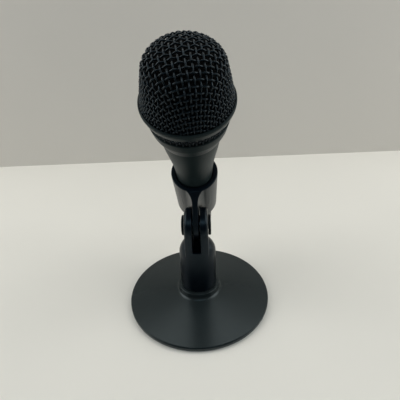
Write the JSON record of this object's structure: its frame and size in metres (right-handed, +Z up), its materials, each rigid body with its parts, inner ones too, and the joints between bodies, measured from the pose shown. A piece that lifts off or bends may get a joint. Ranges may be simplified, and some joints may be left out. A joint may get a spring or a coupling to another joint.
{
  "type": "handheld dynamic microphone on a desk stand",
  "caption": "Handheld dynamic microphone with a domed wire-mesh head, held in a split tube clip on a tilting clevis and a round weighted desk base.",
  "frame": {"origin": "centre of the base's underside", "axes": "+Z up, along the post; the head of the microphone leans towards -Y and its tail towards +Y"},
  "size_m": [0.113, 0.1274, 0.1906],
  "materials": {
    "base_paint": "satin black paint on iron",
    "body_paint": "fine matte dark grey paint",
    "wire_paint": "satin black painted wire",
    "clip_plastic": "fine textured black",
    "capsule_plastic": "matte black",
    "rubber": "matte",
    "steel": "machined, zinc plated",
    "black_steel": "black oxide",
    "brass": "machined",
    "film": "thin clear amber film",
    "board": "phenolic board",
    "copper": "enamelled copper wire",
    "red_sleeve": "wire insulation",
    "foam": "open-cell foam"
  },
  "bodies": {
    "base": {"base_disc": "base_paint", "base_pad": "rubber", "base_stud": "steel", "stud_washer": "steel", "stud_nut": "steel"},
    "adapter": {"swivel_adapter": "clip_plastic", "thread_insert": "brass", "pivot_bolt": "black_steel", "pivot_nut": "black_steel"},
    "clip": {"mic_clip": "clip_plastic", "friction_washer_left": "clip_plastic", "friction_washer_right": "clip_plastic"},
    "microphone": {"handle": "body_paint", "connector_puck": "clip_plastic", "connector_pin_1": "steel", "connector_pin_2": "steel", "connector_pin_3": "steel", "connector_set_screw": "steel", "shock_mount": "rubber", "rear_chamber": "capsule_plastic", "terminal_board": "board", "capsule_case": "capsule_plastic", "capsule_cap": "capsule_plastic", "diaphragm": "film", "voice_coil": "copper", "pole_piece": "steel", "magnet": "black_steel", "magnet_yoke": "steel", "lead_red": "red_sleeve", "lead_black": "rubber"},
    "head": {"mesh_dome": "wire_paint", "head_ring": "body_paint", "mesh_skirt": "wire_paint", "head_collar": "steel", "foam_liner": "foam"}
  },
  "joints": [
    {"name": "adapter_swivel", "type": "hinge", "parent": "base", "child": "adapter", "pos_m": [0, 0, 0], "axis": [0, 0, 1], "range_deg": [-180, 180]},
    {"name": "clip_tilt", "type": "hinge", "parent": "adapter", "child": "clip", "pos_m": [0, 0, 0.0666], "axis": [1, 0, 0], "range_deg": [-35, 50]},
    {"name": "microphone_slide", "type": "slide", "parent": "clip", "child": "microphone", "axis": [0, -0.6129, 0.7902], "range_m": [0, 0.09]},
    {"name": "head_lift_off", "type": "slide", "parent": "microphone", "child": "head", "axis": [0, -0.6129, 0.7902], "range_m": [0, 0.05]}
  ]
}
